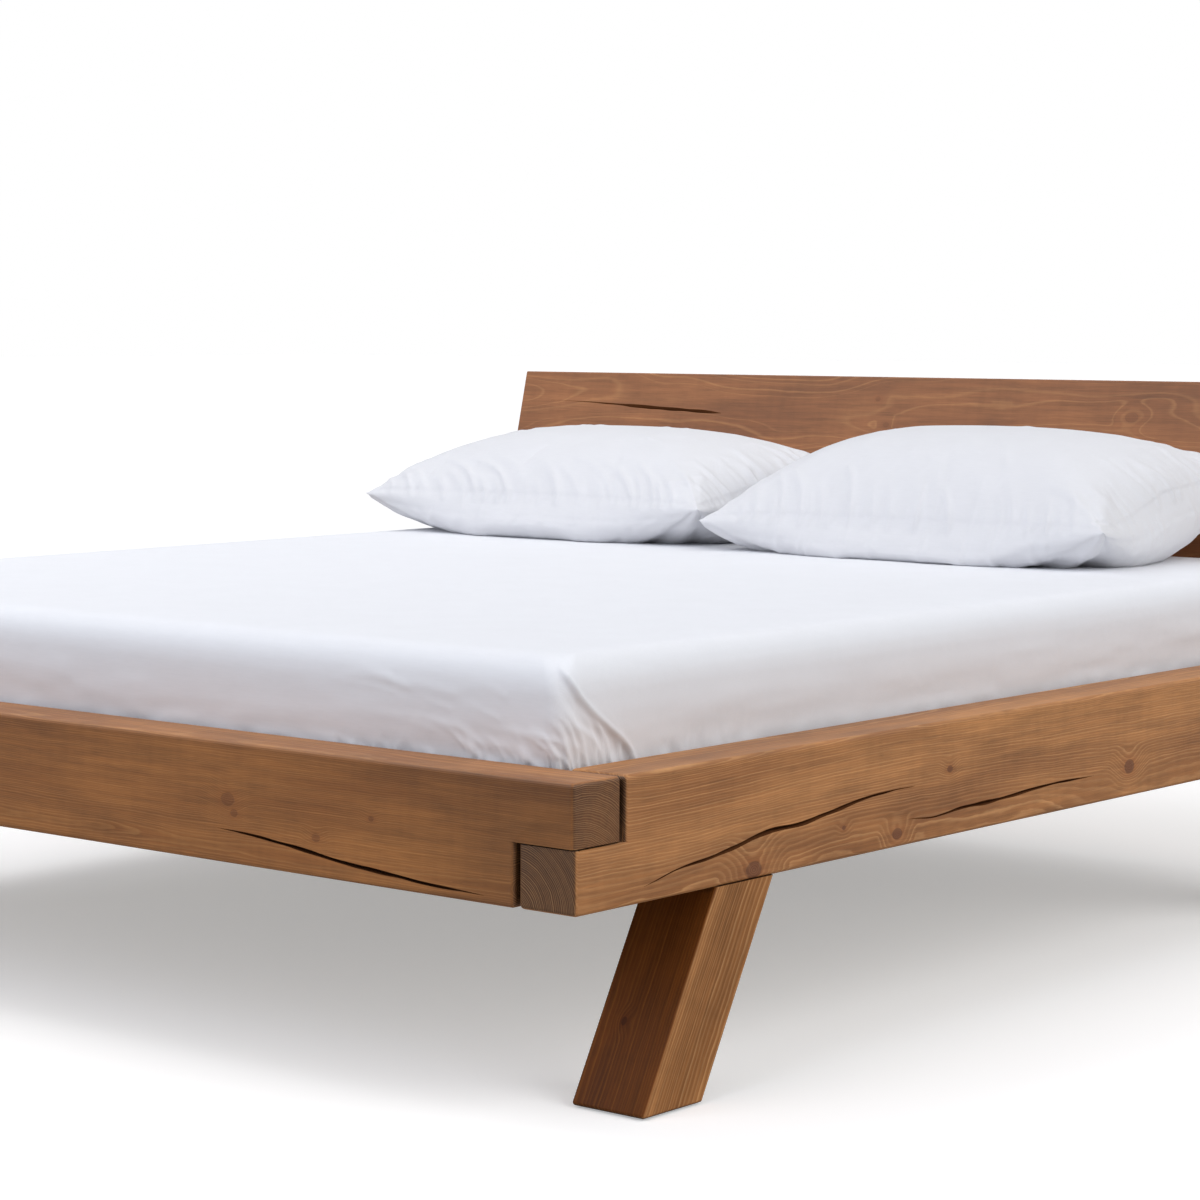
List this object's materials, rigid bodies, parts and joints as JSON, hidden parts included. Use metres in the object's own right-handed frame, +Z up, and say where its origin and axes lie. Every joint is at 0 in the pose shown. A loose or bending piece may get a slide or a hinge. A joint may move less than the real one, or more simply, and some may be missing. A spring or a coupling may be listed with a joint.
{
  "type": "beam bed",
  "caption": "King-size bed frame of heavy half-lapped timber beams on leaning legs, with a leaning timber headboard, slatted base, mattress in a white fitted sheet and pillows.",
  "frame": {"origin": "on the floor, in the middle of the whole bed's footprint, the leaning headboard included", "axes": "+X to the right seen from the foot end, +Y from the foot end towards the headboard, +Z up"},
  "size_m": [2, 2.2496, 0.8664],
  "materials": {
    "beam_timber": "oiled",
    "leg_timber": "oiled",
    "headboard_timber": "oiled",
    "plain_pine": "raw",
    "slat_wood": "raw",
    "dowel_wood": "raw",
    "zinc_steel": "zinc plated",
    "black_steel": "matte black",
    "black_felt": "felt",
    "webbing": "woven tape",
    "mattress_cover": "knitted",
    "white_cotton": "plain woven cotton",
    "pillow_cotton": "plain woven cotton"
  },
  "bodies": {
    "frame": {"foot_beam": "beam_timber", "head_beam": "beam_timber", "side_beam_left": "beam_timber", "side_beam_right": "beam_timber", "leg_foot_left": "leg_timber", "glide_foot_left": "black_felt", "corner_pad_foot_left": "black_felt", "leg_foot_right": "leg_timber", "glide_foot_right": "black_felt", "corner_pad_foot_right": "black_felt", "leg_head_left": "leg_timber", "glide_head_left": "black_felt", "corner_pad_head_left": "black_felt", "leg_head_right": "leg_timber", "glide_head_right": "black_felt", "corner_pad_head_right": "black_felt", "corner_screws": "zinc_steel", "leg_screws": "zinc_steel", "lag_washers": "zinc_steel", "ledge_screws": "zinc_steel", "hanger_screws": "zinc_steel", "centre_leg_stud": "zinc_steel", "frame_dowels": "dowel_wood", "headboard_dowels": "dowel_wood", "headboard_lower_plank": "headboard_timber", "headboard_upper_plank": "headboard_timber", "headboard_bracket_left": "black_steel", "headboard_bracket_centre": "black_steel", "headboard_bracket_right": "black_steel", "centre_beam_hanger_foot": "black_steel", "centre_beam_hanger_head": "black_steel", "bracket_screws": "black_steel", "ledge_left": "plain_pine", "ledge_right": "plain_pine", "centre_beam": "plain_pine", "centre_leg": "plain_pine", "centre_leg_glide": "black_felt"},
    "slatted_base": {"slat_01": "slat_wood", "slat_02": "slat_wood", "slat_03": "slat_wood", "slat_04": "slat_wood", "slat_05": "slat_wood", "slat_06": "slat_wood", "slat_07": "slat_wood", "slat_08": "slat_wood", "slat_09": "slat_wood", "slat_10": "slat_wood", "slat_11": "slat_wood", "slat_12": "slat_wood", "slat_13": "slat_wood", "slat_14": "slat_wood", "slat_15": "slat_wood", "base_tape_left": "webbing", "base_tape_right": "webbing", "tape_staples": "zinc_steel"},
    "bed_mattress": {"mattress": "mattress_cover", "fitted_sheet": "white_cotton"},
    "left_pillow": {"pillow_left": "pillow_cotton"},
    "right_pillow": {"pillow_right": "pillow_cotton"}
  },
  "joints": [
    {"name": "base_lift", "type": "slide", "parent": "frame", "child": "slatted_base", "axis": [0, 0, 1], "range_m": [0, 0.15]},
    {"name": "mattress_lift", "type": "slide", "parent": "slatted_base", "child": "bed_mattress", "axis": [0, 0, 1], "range_m": [0, 0.3]},
    {"name": "left_pillow_lift", "type": "slide", "parent": "bed_mattress", "child": "left_pillow", "axis": [0, 0, 1], "range_m": [0, 0.4]},
    {"name": "right_pillow_lift", "type": "slide", "parent": "bed_mattress", "child": "right_pillow", "axis": [0, 0, 1], "range_m": [0, 0.4]}
  ]
}
